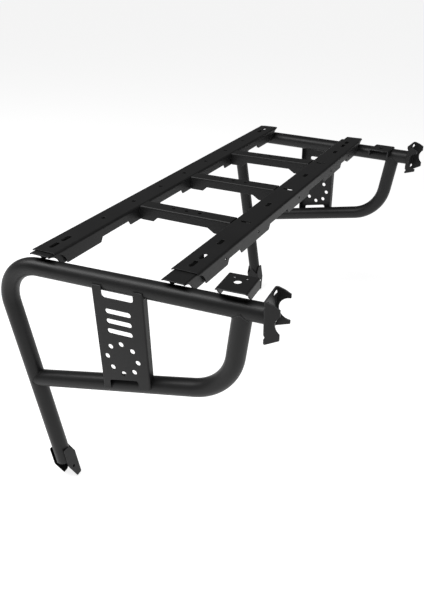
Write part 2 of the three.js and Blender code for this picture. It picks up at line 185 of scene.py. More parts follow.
SADDLE_SHEET = 4.0
SADDLE_BACK = 585.0
SADDLE_TIP = 619.5
SADDLE_HALF = 37.0
SADDLE_TOP = 47.0
SADDLE_TIP_TOP = 35.0
SADDLE_TIP_BOTTOM = -34.0
SADDLE_HEEL_IN = -44.0
SADDLE_HEEL_OUT = -50.0
SADDLE_SHOULDER = {"drop": 4.5, "reach": 21.0, "top_reach": 7.0}
SADDLE_SLOT = {"off": 26.0, "z": 34.5, "length": 20.4, "width": 12.0}
CAGE_R = 25.8                # cradle for the cage's tube
CRADLE_STEPS = 28
CAGE_X_INBOARD = 619.5
CAGE_X_OUTBOARD = 635.0

FOOT_TOP = 235.0
FOOT_BOTTOM = 339.0
FOOT_WEB_BOTTOM = 333.0
FOOT_OUTBOARD = 17.0
FOOT_BOLT = (301.0, -2.0)
FOOT_BOLT_R = 4.5

BEAD_R = 1.2
BEAD_PITCH = 1.3
BEAD_SIDES = 10
BEAD_RIPPLE = 0.07
BEAD_RIPPLE_LENGTH = 2.6
SADDLE_BEAD_BACK = 0.4

COAT_GLOSS = 0.22
TUBE_GLOSS = 0.24
# painted shade on the folded sheets' hidden inner faces: almost no reflection, and more roughness
SHADE_PAINT_GLOSS = 0.03
SHADE_PAINT_ROUGHNESS = 0.4
WORN_COLOUR = (0.05, 0.05, 0.052, 1.0)
# painted shade on those inner faces: a near-black colour
SHADE_PAINT_COLOUR = (0.003, 0.003, 0.003, 1.0)

FLOOR_RADIUS = 60.0          # metres, like the other lengths of the stage and the camera
FLOOR_DROP = 0.0005
FLOOR_GREY = 0.45
FLOOR_GLOW = 0.84
AIR_STRENGTH = 0.14
LIGHT_AIM = (0.0, 0.0, 0.4)

rail_low, rail_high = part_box("rear_rail")
ORIGIN = Vector((rail_low.x, 0.0, rail_high.z - RAIL_TOP * MM))


# ---- outlines ----
def arc(cx, cy, radius, start, stop, steps):
    """Points on a circle from one angle to another, in degrees."""
    turns = [math.radians(start + (stop - start) * i / steps) for i in range(steps + 1)]
    return [(cx + radius * math.cos(a), cy + radius * math.sin(a)) for a in turns]


def circle(cx, cy, radius, sides=HOLE_SIDES):
    return arc(cx, cy, radius, 0, 360 - 360 / sides, sides - 1)


def slot(cx, cy, length, width, along):
    """Rounded slot, lying along the first axis when along is true and along the second otherwise."""
    reach = (length - width) / 2
    start = -90 if along else 0
    dx, dy = (reach, 0) if along else (0, reach)
    return (arc(cx + dx, cy + dy, width / 2, start, start + 180, SLOT_END_STEPS)
            + arc(cx - dx, cy - dy, width / 2, start + 180, start + 360, SLOT_END_STEPS))


def eased(points, radius):
    """The closed outline with its sharp corners rounded; shallow corners are left alone."""
    made = []
    count = len(points)
    for i, here in enumerate(points):
        here = Vector(here)
        before = Vector(points[i - 1]) - here
        after = Vector(points[(i + 1) % count]) - here
        turn = math.pi - before.angle(after)
        if turn < SHALLOW_CORNER:
            made.append(tuple(here))
            continue
        longest = LONGEST_EASING * min(before.length, after.length)
        cut = min(radius * math.tan(turn / 2), longest)
        a = here + before.normalized() * cut
        b = here + after.normalized() * cut
        for k in range(CORNER_STEPS + 1):
            u = k / CORNER_STEPS
            made.append(tuple(a * (1 - u) ** 2 + here * 2 * u * (1 - u) + b * u ** 2))
    return made


def signed_area(loop):
    return 0.5 * sum(a[0] * b[1] - b[0] * a[1] for a, b in zip(loop, loop[1:] + loop[:1]))


def inset(loop, distance):
    """The loop moved to its left, into the sheet, by distance."""
    moved = []
    count = len(loop)
    for i, here in enumerate(loop):
        into = Vector(here) - Vector(loop[i - 1])
        away = Vector(loop[(i + 1) % count]) - Vector(here)
        n0 = Vector((-into.y, into.x)).normalized()
        n1 = Vector((-away.y, away.x)).normalized()
        moved.append(tuple(Vector(here) + (n0 + n1) * (distance / max(1 + n0.dot(n1), MITRE_LIMIT))))
    return moved


# ---- folded sheet ----
class Channel:
    """Fold of a flat pattern: a web between two flanges. s runs across the pattern, w into the sheet."""

    def __init__(self, width, sheet=SHEET, inner=1.0):
        self.half = width / 2
        self.sheet = sheet
        self.outer = sheet + inner
        self.flat = self.half - self.outer
        self.bend = math.pi / 2 * (self.outer - sheet / 2)

    def s_at(self, depth):
        """Place across the pattern of a point on a flange, depth below the web's outer face."""
        if depth < self.outer:
            return self.flat + self.bend * depth / self.outer
        return self.flat + self.bend + depth - self.outer

    def stations(self):
        steps = [self.flat + self.bend * i / FOLD_STEPS for i in range(FOLD_STEPS + 1)]
        return [-s for s in reversed(steps)] + steps

    def fold(self, s, w):
        """(across, depth) in the section for a point of the pattern."""
        side = -1 if s < 0 else 1
        s = abs(s)
        if s <= self.flat:
            return side * s, -w
        if s <= self.flat + self.bend:
            turn = (s - self.flat) / self.bend * math.pi / 2
            radius = self.outer + w
            return side * (self.flat + radius * math.sin(turn)), self.outer - radius * math.cos(turn)
        return side * (self.half + w), self.outer + s - self.flat - self.bend


def two_flanges(channel, plus, minus):
    """Pattern outline from the free edges of both flanges, each a list of (t, depth) with t rising."""
    upper = [(t, channel.s_at(depth)) for t, depth in plus]
    lower = [(t, -channel.s_at(depth)) for t, depth in minus]
    return lower + upper[::-1]


def folded_sheet(channel, outline, holes, place, paint_inner_shade=False):
    """bmesh of a folded sheet with rounded cut edges. place(t, across, depth) gives millimetres.

    A sheet marked for it gets painted shade on its inner face, under the web and between the flanges.
    """
    loops = [outline if signed_area(outline) > 0 else outline[::-1]]
    loops += [hole if signed_area(hole) < 0 else hole[::-1] for hole in holes]
    sheet = channel.sheet
    quarter = [math.radians(a) for a in (0, 30, 60, 90)]
    under = [(EDGE * (1 - math.sin(a)), -sheet + EDGE * (1 - math.cos(a))) for a in quarter]
    rim = under + [(into, -sheet - w) for into, w in reversed(under)]
    bm = bmesh.new()
    edge_layer = bm.verts.layers.float.new("edge")
    inner_shade_layer = bm.verts.layers.float.new("inside")
    rings = []
    for index, loop in enumerate(loops):
        levels = []
        is_outline = index == 0
        wear = 1.0 if is_outline else HOLE_WEAR
        shaded = -sheet * (OUTLINE_SHADE if is_outline else HOLE_SHADE)
        for level, (into, w) in enumerate(rim):
            worn = 0.0 if level in (0, len(rim) - 1) else wear
            ring = []
            for t, s in inset(loop, into):
                vert = bm.verts.new((t, s, w))
                vert[edge_layer] = worn
                # mask of painted shade on the sheet's inner face
                vert[inner_shade_layer] = 1.0 if paint_inner_shade and w < shaded else 0.0
                ring.append(vert)
            levels.append(ring)
        for low, high in zip(levels, levels[1:]):
            for i in range(len(low)):
                bm.faces.new((low[i - 1], low[i], high[i], high[i - 1]))
        rings.append(levels)
    for level in (0, -1):
        flat = [[Vector((v.co.x, v.co.y, 0)) for v in levels[level]] for levels in rings]
        verts = [v for levels in rings for v in levels[level]]
        for triangle in tessellate_polygon(flat):
            corners = [verts[i] for i in triangle]
            if len(set(corners)) == 3:
                bm.faces.new(corners)
    for s in channel.stations():
        everything = bm.verts[:] + bm.edges[:] + bm.faces[:]
        bmesh.ops.bisect_plane(bm, geom=everything, dist=1e-4, plane_co=(0, s, 0), plane_no=(0, 1, 0))
    for vert in bm.verts:
        t, s, w = vert.co
        vert.co = place(t, *channel.fold(s, w))
    return bm


# ---- swept tube ----
def bent_path(start, corner, end, bend_radius):
    """(point, tangent) stations along two straights joined by a bend."""
    inward = (corner - start).normalized()
    outward = (end - corner).normalized()
    turn = inward.angle(outward)
    bend_start = corner - inward * (bend_radius * math.tan(turn / 2))
    to_centre = (outward - inward * outward.dot(inward)).normalized()
    stations = [(start, inward)]
    steps = math.ceil(math.degrees(turn) / BEND_STEP)
    for i in range(steps + 1):
        a = turn * i / steps
        forward = bend_start + inward * (bend_radius * math.sin(a))
        point = forward + to_centre * (bend_radius * (1 - math.cos(a)))
        stations.append((point, inward * math.cos(a) + to_centre * math.sin(a)))
    stations.append((end, outward))
    return stations


def tube_ring(station, radius, shift=0.0):
    point, tangent = station
    side = Vector((0, 1, 0))
    up = side.cross(tangent)
    turns = [2 * math.pi * i / TUBE_SIDES for i in range(TUBE_SIDES)]
    centre = point + tangent * shift
    return [centre + (up * math.cos(a) + side * math.sin(a)) * radius for a in turns]


def coped(ring, direction, axis_point, axis, radius):
    """The ring's points slid along direction until they meet a round tube."""
    slid = []
    for point in ring:
        across = (point - axis_point) - axis * (point - axis_point).dot(axis)
        travel = direction - axis * direction.dot(axis)
        a = travel.dot(travel)
        b = 2 * across.dot(travel)
        c = across.dot(across) - radius * radius
        root = math.sqrt(max(b * b - 4 * a * c, 0.0))
        slid.append(point + direction * ((-b - root) / (2 * a)))
    return slid


def tube_bmesh(stations, copes, place):
    """Closed hollow tube. copes maps "start" or "end" to the (point, axis) of the tube it is fitted to."""
    inner = TUBE_R - TUBE_WALL
    outer_rings = [(tube_ring(s, TUBE_R), 0.0) for s in stations[1:-1]]
    inner_rings = [(tube_ring(s, inner), 0.0) for s in stations[1:-1]]
    for end in ("start", "end"):
        station = stations[0] if end == "start" else stations[-1]
        next_in = stations[1] if end == "start" else stations[-2]
        outwards = -station[1] if end == "start" else station[1]
        sign = 1 if end == "start" else -1
        if end in copes:
            cut = coped(tube_ring(next_in, TUBE_R), outwards, *copes[end], TUBE_SEAT)
            outer_end = [([point - outwards * COPE_WEAR for point in cut], 0.0), (cut, 1.0)]
            inner_end = [(coped(tube_ring(next_in, inner), outwards, *copes[end], TUBE_SEAT), 1.0)]
        else:
            outer_end = [
                (tube_ring(station, TUBE_R, sign * SAWN_WEAR), 0.0),
                (tube_ring(station, TUBE_R, sign * SAWN_ROUND), 1.0),
                (tube_ring(station, TUBE_R - SAWN_SHOULDER, sign * SAWN_SHOULDER), 1.0),
                (tube_ring(station, TUBE_R - SAWN_ROUND), 1.0),
            ]
            inner_end = [
                (tube_ring(station, inner, sign * LIP_ROUND), 1.0),
                (tube_ring(station, inner + LIP_ROUND), 1.0),
            ]
        if end == "start":
            outer_rings = outer_end[::-1] + outer_rings
            inner_rings = inner_end + inner_rings
        else:
            outer_rings = outer_rings + outer_end
            inner_rings = inner_rings + inner_end
    return ring_bmesh(outer_rings + inner_rings[::-1], place)


def ring_bmesh(rings, place):
    """Skin over a closed loop of rings of points, each ring with its edge value."""
    bm = bmesh.new()
    edge_layer = bm.verts.layers.float.new("edge")
    made = []
    for points, worn in rings:
        ring = []
        for point in points:
            vert = bm.verts.new(place(*point))
            vert[edge_layer] = worn
            ring.append(vert)
        made.append(ring)
    for low, high in zip(made, made[1:] + made[:1]):
        for i in range(len(low)):
            bm.faces.new((low[i - 1], low[i], high[i], high[i - 1]))
    return bm


# ---- weld beads ----
def bead_bmesh(path, place):
    """Small rippled bead along a closed path."""
    count = len(path)
    middle = sum(path, Vector()) / count
    rings = []
    travelled = 0.0
    for i, point in enumerate(path):
        tangent = (path[(i + 1) % count] - path[i - 1]).normalized()
        if i:
            travelled += (point - path[i - 1]).length
        outward = point - middle
        across = (outward - tangent * outward.dot(tangent)).normalized()
        over = tangent.cross(across)
        ripple = math.cos(2 * math.pi * travelled / BEAD_RIPPLE_LENGTH)
        size = BEAD_R * (1 - BEAD_RIPPLE + BEAD_RIPPLE * ripple)
        turns = [2 * math.pi * k / BEAD_SIDES for k in range(BEAD_SIDES)]
        rings.append(([point + (across * math.cos(a) + over * math.sin(a)) * size for a in turns], 0.0))
    return ring_bmesh(rings, place)


def resampled(points, pitch):
    """Evenly spaced points along a closed polyline."""
    loop = points + points[:1]
    lengths = [(b - a).length for a, b in zip(loop, loop[1:])]
    total = sum(lengths)
    count = round(total / pitch)
    made = []
    k = 0
    before = 0.0
    for i in range(count):
        distance = total * i / count
        while k < len(lengths) - 1 and before + lengths[k] < distance:
            before += lengths[k]
            k += 1
        made.append(loop[k].lerp(loop[k + 1], min(1.0, (distance - before) / lengths[k])))
    return made


# ---- finish ----
def powder_coat(name, dark, light, seed, gloss):
    """Black satin powder coat with orange-peel grain and slow tone variation.

    The "edge" attribute rubs it lighter on cut edges. Where "inside" is 1 it carries painted shade: darker,
    with little reflection, and rougher.
    """
    material = bpy.data.materials.new(name)
    material.use_nodes = True
    tree = material.node_tree
    shader = tree.nodes["Principled BSDF"]
    shader.inputs["Metallic"].default_value = 0.0

    def node(kind, **settings):
        made = tree.nodes.new(kind)
        for key, value in settings.items():
            setattr(made, key, value)
        return made

    def ramp(source, low, high, at_low, at_high):
        """The source between low and high, mapped to between at_low and at_high."""
        made = node("ShaderNodeMapRange")
        made.inputs["From Min"].default_value = low
        made.inputs["From Max"].default_value = high
        made.inputs["To Min"].default_value = at_low
        made.inputs["To Max"].default_value = at_high
        tree.links.new(source, made.inputs["Value"])
        return made.outputs["Result"]

    place = node("ShaderNodeTexCoord")
    shifted = node("ShaderNodeMapping")
    shifted.inputs["Location"].default_value = (seed, seed * 0.7, seed * 1.3)
    tree.links.new(place.outputs["Object"], shifted.inputs["Vector"])

    def noise(scale, detail, roughness):
        made = node("ShaderNodeTexNoise")
        made.inputs["Scale"].default_value = scale
        made.inputs["Detail"].default_value = detail
        made.inputs["Roughness"].default_value = roughness
        tree.links.new(shifted.outputs["Vector"], made.inputs["Vector"])
        return made.outputs["Fac"]

    tone = noise(scale=7.0, detail=4.0, roughness=0.6)
    speckle = noise(scale=260.0, detail=2.0, roughness=0.6)
    peel = noise(scale=420.0, detail=2.0, roughness=0.5)
    grain = noise(scale=1500.0, detail=2.0, roughness=0.55)

    mix = node("ShaderNodeMix", data_type="RGBA")
    mix.inputs["A"].default_value = (*dark, 1.0)
    mix.inputs["B"].default_value = (*light, 1.0)
    blend = node("ShaderNodeMath", operation="ADD")
    tree.links.new(ramp(tone, 0.35, 0.65, 0.0, 0.75), blend.inputs[0])
    tree.links.new(ramp(speckle, 0.3, 0.7, -0.15, 0.25), blend.inputs[1])
    blend.use_clamp = True
    tree.links.new(blend.outputs[0], mix.inputs["Factor"])

    edge = node("ShaderNodeAttribute", attribute_name="edge")
    rubbed = node("ShaderNodeMath", operation="MULTIPLY")
    tree.links.new(edge.outputs["Fac"], rubbed.inputs[0])
    patches = noise(scale=38.0, detail=3.0, roughness=0.6)
    tree.links.new(ramp(patches, 0.42, 0.66, 0.15, 0.9), rubbed.inputs[1])
    worn = node("ShaderNodeMix", data_type="RGBA")
    worn.inputs["B"].default_value = WORN_COLOUR
    tree.links.new(mix.outputs["Result"], worn.inputs["A"])
    tree.links.new(rubbed.outputs[0], worn.inputs["Factor"])
    # painted shade: where the mask is 1 the colour goes near-black and the reflection is cut
    inside = node("ShaderNodeAttribute", attribute_name="inside")
    shade_painted = node("ShaderNodeMix", data_type="RGBA")
    shade_painted.inputs["B"].default_value = SHADE_PAINT_COLOUR
    tree.links.new(worn.outputs["Result"], shade_painted.inputs["A"])
    tree.links.new(inside.outputs["Fac"], shade_painted.inputs["Factor"])
    tree.links.new(shade_painted.outputs["Result"], shader.inputs["Base Color"])
    gloss_here = ramp(inside.outputs["Fac"], 0.0, 1.0, gloss, SHADE_PAINT_GLOSS)
    tree.links.new(gloss_here, shader.inputs["Specular IOR Level"])

    rough = node("ShaderNodeMath", operation="SUBTRACT")
    tree.links.new(ramp(tone, 0.3, 0.7, 0.38, 0.46), rough.inputs[0])
    tree.links.new(ramp(rubbed.outputs[0], 0.0, 1.0, 0.0, 0.1), rough.inputs[1])
    # the painted shade's mask also roughens the surface
    shaded_roughness = node("ShaderNodeMath", operation="MULTIPLY_ADD")
    tree.links.new(inside.outputs["Fac"], shaded_roughness.inputs[0])
    shaded_roughness.inputs[1].default_value = SHADE_PAINT_ROUGHNESS
    tree.links.new(rough.outputs[0], shaded_roughness.inputs[2])
    tree.links.new(shaded_roughness.outputs[0], shader.inputs["Roughness"])

    height = node("ShaderNodeMath", operation="MULTIPLY_ADD")
    tree.links.new(grain, height.inputs[0])
    height.inputs[1].default_value = 0.1
    tree.links.new(peel, height.inputs[2])
    bump = node("ShaderNodeBump")
    bump.inputs["Strength"].default_value = 0.25
    bump.inputs["Distance"].default_value = 0.00025
    tree.links.new(height.outputs[0], bump.inputs["Height"])
    tree.links.new(bump.outputs["Normal"], shader.inputs["Normal"])
    return material


COATS = {
    "deck_powder_coat": powder_coat(
        "deck_coat", (0.0070, 0.0070, 0.0072), (0.0100, 0.0100, 0.0102), seed=1.0, gloss=COAT_GLOSS),
    "tube_powder_coat": powder_coat(
        "tube_coat", (0.0075, 0.0075, 0.0077), (0.0108, 0.0108, 0.0110), seed=4.0, gloss=TUBE_GLOSS),
    "plate_powder_coat": powder_coat(
        "plate_coat", (0.0074, 0.0074, 0.0076), (0.0105, 0.0105, 0.0107), seed=7.0, gloss=COAT_GLOSS),
}


def mesh_object(name, bm, side, body, coat, nodes=()):
    """Object from a bmesh in millimetres, mirrored when side is -1, that rides on its body.

    It stands for the CAD nodes given, if any.
    """
    for vert in bm.verts:
        x, y, z = vert.co
        vert.co = ORIGIN + Vector((x, side * y, z)) * MM
    bmesh.ops.recalc_face_normals(bm, faces=bm.faces)
    mesh = bpy.data.meshes.new(name)
    bm.to_mesh(mesh)
    bm.free()
    mesh.materials.append(COATS[coat])
    mesh.shade_smooth()
    mesh.set_sharp_from_angle(angle=SHARP_ANGLE)
    obj = bpy.data.objects.new(name, mesh)
    bpy.context.scene.collection.objects.link(obj)
    even = obj.modifiers.new("even_normals", "WEIGHTED_NORMAL")
    even.keep_sharp = True
    even.weight = 100
    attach(obj, body)
    if nodes:
        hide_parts(*nodes)


def in_deck(x, y, z):
    return Vector((x, y, z))


def in_side_frame(x, off, z):
    """A point of the left side frame's own plane, off outward of it."""
    return Vector((
        x * math.cos(TOE_IN) + off * math.sin(TOE_IN),
        FRAME_OFFSET + off * math.cos(TOE_IN) - x * math.sin(TOE_IN),
        z,
    ))


# ---- deck ----
def mirrored_pairs(numbers):
    """Every number with its negative, and zero once."""
    return [n * sign for n in numbers for sign in ((1,) if n == 0 else (-1, 1))]


def rail(rail_data):
    channel = Channel(RAIL_WIDTH, inner=RAIL_BEND)
    half = rail_data["half"]
    rise = math.degrees(math.asin(FLANGE_DEEP / RAIL_END_ARC))
    scoop = arc(rail_data["arc_end"], 0, RAIL_END_ARC, 180 - rise, 90, RAIL_END_STEPS)
    end = [(min(y, half), z) for y, z in scoop]
    edge = []
    for (_, start), (stop, _) in zip(rail_data["deep"], rail_data["deep"][1:]):
        edge += [(start, FLANGE_DEEP), (start + FLANGE_STEP, FLANGE_SHALLOW)]
        edge += [(stop - FLANGE_STEP, FLANGE_SHALLOW), (stop, FLANGE_DEEP)]
    right_half = [(y, RAIL_TOP - z) for y, z in edge + end] + [(half, 0.0)]
    flange = [(-y, depth) for y, depth in reversed(right_half)] + right_half
    outline = eased(two_flanges(channel, flange, flange), DECK_CORNER)
    bolt_s = channel.s_at(RAIL_TOP - RAIL_BOLT_Z)
    kinds = rail_data["holes"]

    def places(kind):
        return [n * RAIL_HOLE_PITCH for n in mirrored_pairs(kinds[kind])]

    bolts = mirrored_pairs(kinds["bolts"])
    holes = [circle(y, s, RAIL_BOLT_R, BOLT_SIDES) for y in bolts for s in (-bolt_s, bolt_s)]
    for back in END_SLOTS:
        holes += [slot(y, 0, END_SLOT_LENGTH, SLOT_WIDTH, True) for y in (back - half, half - back)]
    holes += [circle(y, 0, RAIL_HOLE_R) for y in places("round")]
    holes += [slot(y, 0, SLOT_LENGTH, SLOT_WIDTH, True) for y in places("along")]
    holes += [slot(y, 0, SLOT_LENGTH, SLOT_WIDTH, False) for y in places("across")]
    middle = rail_data["x"] + RAIL_WIDTH / 2

    def place(t, p, q):
        return in_deck(middle + p, t, RAIL_TOP - q)

    # the channel's inner faces carry painted shade
    return folded_sheet(channel, outline, holes, place, paint_inner_shade=True)


def rung(y):
    channel = Channel(RUNG_WIDTH, inner=RUNG_BEND)
    start = REAR_RAIL["x"] + RAIL_WIDTH + CLEAR
    stop = FRONT_RAIL["x"] - CLEAR
    deep = RUNG_TOP - RUNG_DEEP
    shallow = RUNG_TOP - RUNG_SHALLOW
    flange = [
        (start, 0.0),
        (start, deep),
        (start + RUNG_REAR_STEP[0], deep),
        (start + RUNG_REAR_STEP[1], shallow),
        (stop - RUNG_FRONT_STEP[0], shallow),
        (stop - RUNG_FRONT_STEP[1], deep),
        (stop, deep),
        (stop, 0.0),
    ]
    outline = eased(two_flanges(channel, flange, flange), DECK_CORNER)
    holes = [circle(x, 0, RUNG_HOLE_R, BOLT_SIDES) for x in RUNG_HOLES]

    def place(t, p, q):
        return in_deck(t, y + p, RUNG_TOP - q)

    # the channel's inner faces carry painted shade
    return folded_sheet(channel, outline, holes, place, paint_inner_shade=True)


def tube_y(x):
    """Where the left top tube's axis crosses the deck's plane x."""
    return FRAME_OFFSET - x * math.tan(TOE_IN)


def rail_bracket(rail_data, end):
    channel = Channel(BRACKET_WIDTH)
    top = RAIL_TOP - SHEET - CLEAR
    middle = rail_data["x"] + RAIL_WIDTH / 2
    start = end - BRACKET_LENGTH

    def flange(x):
        """Free edge of the flange at x: scooped at the end, and clear of the tube."""
        edge = [(start, 0.0), (start, top - BRACKET_BOTTOM)]
        for i in range(BRACKET_STEPS + 1):
            rise = math.sin(math.pi / 2 * i / BRACKET_STEPS)
            z = BRACKET_BOTTOM + (BRACKET_ARC - BRACKET_BOTTOM) * rise
            y = end - math.sqrt(max(BRACKET_ARC ** 2 - z ** 2, 0.0))
            if z < TUBE_SEAT:
                y = min(y, tube_y(x) - math.sqrt(TUBE_SEAT ** 2 - z ** 2) / math.cos(TOE_IN))
            edge.append((y, top - z))
        return edge + [(end, 0.0)]

    reach = BRACKET_WIDTH / 2
    outline = eased(two_flanges(channel, flange(middle + reach), flange(middle - reach)), BRACKET_CORNER)
    slot_y = rail_data["half"] - BRACKET_SLOT_BACK
    holes = [slot(slot_y, 0, BRACKET_SLOT_LENGTH, BRACKET_SLOT_WIDTH, True)]

    def place(t, p, q):
        return in_deck(middle + p, t, top - q)

    # the bracket's inner faces carry painted shade
    return folded_sheet(channel, outline, holes, place, paint_inner_shade=True)


# ---- side frame ----
leg_down = Vector((math.cos(LEG_SLOPE), 0, -math.sin(LEG_SLOPE)))
leg_cross = Vector((LEG_X, 0, LEG_Z))
hoop_corner = leg_cross + leg_down * (LEG_Z / math.sin(LEG_SLOPE))
top_start = Vector((TOP_END_X, 0, 0))
leg_end = leg_cross + leg_down * LEG_LENGTH
lower_corner = Vector((LOWER_CORNER_X, 0, LEG_Z + (LOWER_CORNER_X - LEG_X) * math.tan(LOWER_SLOPE)))
riser_end = Vector((LOWER_CORNER_X - lower_corner.z / math.tan(RISER_SLOPE), 0, 0))
lower_path = bent_path(leg_cross, lower_corner, riser_end, LOWER_BEND_R)
TOP_AXIS = (Vector((0, 0, 0)), Vector((1, 0, 0)))
LEG_AXIS = (leg_cross, leg_down)


def lower_z(x):
    """Height of the lower tube's axis on its sloping straight."""
    return LEG_Z + (x - LEG_X) * math.tan(LOWER_SLOPE)


def hoop_tube():
    return tube_bmesh(bent_path(top_start, hoop_corner, leg_end, HOOP_BEND_R), {}, in_side_frame)


def lower_tube():
    return tube_bmesh(lower_path, {"start": LEG_AXIS, "end": TOP_AXIS}, in_side_frame)


def gusset_plate():
    channel = Channel(GUSSET_X1 - GUSSET_X0)
    middle = (GUSSET_X0 + GUSSET_X1) / 2
    outer = TUBE_SEAT + SHEET
    lean = math.degrees(LOWER_SLOPE)

    def on_web(points):
        """Pattern points from (x, z) points on the web."""
        return [(z, x - middle) for x, z in points]

    def flange_ends(x):
        """Bottom and top end of a flange at depth steps, scooped to both tubes."""
        lows, highs = [], []
        for i in range(GUSSET_FLANGE_STEPS + 1):
            depth = GUSSET_FLANGE_ROOT + (GUSSET_FLANGE - GUSSET_FLANGE_ROOT) * i / GUSSET_FLANGE_STEPS
            off = outer - depth
            reach = math.sqrt(max(TUBE_SEAT ** 2 - off ** 2, 0.0))
            highs.append((-reach, depth))
            lows.append((lower_z(x) + reach / math.cos(LOWER_SLOPE), depth))
        return lows, highs

    def top_corner(x, start):
        return arc(x, -TOP_NOTCH["height"], TOP_NOTCH["corner"], start, start + 90, NOTCH_STEPS)

    def bottom_corner(x, start, stop):
        z = lower_z(x) + BOTTOM_NOTCH["height"]
        return arc(x, z, BOTTOM_NOTCH["corner"], start, stop, NOTCH_STEPS)

    x0, x1 = GUSSET_X0 + SHEET, GUSSET_X1 - SHEET
    lows, highs = flange_ends(GUSSET_X0)
    outline = [(z, -channel.s_at(depth)) for z, depth in lows + highs[::-1]]
    outline += on_web([(x0, 0.0), (TOP_NOTCH["x0"], 0.0)])
    outline += on_web(top_corner(TOP_NOTCH["x0"] + TOP_NOTCH["corner"], 180))
    outline += on_web(top_corner(TOP_NOTCH["x1"] - TOP_NOTCH["corner"], 270))
    outline += on_web([(TOP_NOTCH["x1"], 0.0), (x1, 0.0)])
    lows, highs = flange_ends(GUSSET_X1)
    outline += [(z, channel.s_at(depth)) for z, depth in highs + lows[::-1]]
    outline += on_web([(x, lower_z(x)) for x in (x1, BOTTOM_NOTCH["x1"])])
    outline += on_web(bottom_corner(BOTTOM_NOTCH["x1"] - BOTTOM_NOTCH["corner"], 0, 90 + lean))
    outline += on_web(bottom_corner(BOTTOM_NOTCH["x0"] + BOTTOM_NOTCH["corner"], 90 + lean, 180))
    outline += on_web([(x, lower_z(x)) for x in (BOTTOM_NOTCH["x0"], x0)])
    holes = []
    for i in range(RING_HOLES):
        a = 2 * math.pi * i / RING_HOLES
        x = RING_CENTRE[0] + RING_PITCH_R * math.sin(a)
        z = RING_CENTRE[1] + RING_PITCH_R * math.cos(a)
        holes.append(circle(z, x - middle, RING_HOLE_R))
    holes += [slot(z, WINDOW_X - middle, WINDOW_LENGTH, WINDOW_HEIGHT, False) for z in WINDOW_Z]

    def place(t, p, q):
        return in_side_frame(middle + p, outer - q, t)

    return folded_sheet(channel, eased(outline, GUSSET_CORNER), holes, place)


def tray(data, edge):
    """Accessory bracket from the (off, z) free edge of its legs."""
    channel = Channel(data["x1"] - data["x0"])
    middle = (data["x0"] + data["x1"]) / 2
    top = data["top"]
    flange = [(off, top - z) for off, z in edge]
    outline = eased(two_flanges(channel, flange, flange), BRACKET_CORNER)
    large, small = TRAY_HOLE, TRAY_SMALL_HOLES
    holes = [circle(data["inboard"] + large["back"], TRAY_HOLES_SHIFT, large["r"], large["sides"])]
    for aside in (-small["aside"], small["aside"]):
        s = aside + TRAY_HOLES_SHIFT
        holes.append(circle(data["inboard"] + small["back"], s, small["r"], small["sides"]))

    def place(t, p, q):
        return in_side_frame(middle + p, t, top - q)

    return folded_sheet(channel, outline, holes, place)


def right_tray():
    inboard, outboard, top = (RIGHT_TRAY[k] for k in ("inboard", "outboard", "top"))
    curve = [(off, TUBE_SEAT + height) for off, height in RIGHT_TRAY_CURVE]
    return tray(RIGHT_TRAY, [
        (inboard, top), (inboard, TUBE_SEAT), *curve, (outboard, top - SHEET - 1), (outboard, top),
    ])


def left_tray():
    inboard, outboard, top, bottom = (LEFT_TRAY[k] for k in ("inboard", "outboard", "top", "bottom"))
    start = 180 - math.degrees(math.asin(bottom / TUBE_SEAT))
    stop = math.degrees(math.acos(outboard / TUBE_SEAT))
    return tray(LEFT_TRAY, [
        (inboard, top), (inboard, bottom), *arc(0, 0, TUBE_SEAT, start, stop, TRAY_SCOOP_STEPS),
        (outboard, top),
    ])


def cage_saddle():
    channel = Channel(2 * SADDLE_HALF, SADDLE_SHEET)
    tip = SADDLE_TIP - SADDLE_BACK

    def ear(cage_x, heel):
        """Free edge of an ear as (z, reach), from its heel to its top."""
        centre = cage_x - SADDLE_BACK
        lean = math.degrees(math.acos((centre - tip) / CAGE_R))
        turns = [math.radians(-lean + 2 * lean * i / CRADLE_STEPS) for i in range(CRADLE_STEPS + 1)]
        cradle = [(CAGE_R * math.sin(a), centre - CAGE_R * math.cos(a)) for a in turns]
        below = [(heel, 0.0), (heel, SADDLE_SHEET + 1), (SADDLE_TIP_BOTTOM, tip)]
        above = [
            (SADDLE_TIP_TOP, tip),
            (SADDLE_TOP - SADDLE_SHOULDER["drop"], SADDLE_SHOULDER["reach"]),
            (SADDLE_TOP, SADDLE_SHOULDER["top_reach"]),
            (SADDLE_TOP, 0.0),
        ]
        return below + cradle + above

    outboard = ear(CAGE_X_OUTBOARD, SADDLE_HEEL_OUT)
    inboard = ear(CAGE_X_INBOARD, SADDLE_HEEL_IN)
    outline = eased(two_flanges(channel, outboard, inboard), BRACKET_CORNER)
    holes = []
    for off in (-SADDLE_SLOT["off"], SADDLE_SLOT["off"]):
        for z in (-SADDLE_SLOT["z"], SADDLE_SLOT["z"]):
            holes.append(slot(z, off, SADDLE_SLOT["length"], SADDLE_SLOT["width"], False))

    def place(t, p, q):
        return in_side_frame(SADDLE_BACK + q, p, t)

    return folded_sheet(channel, outline, holes, place)


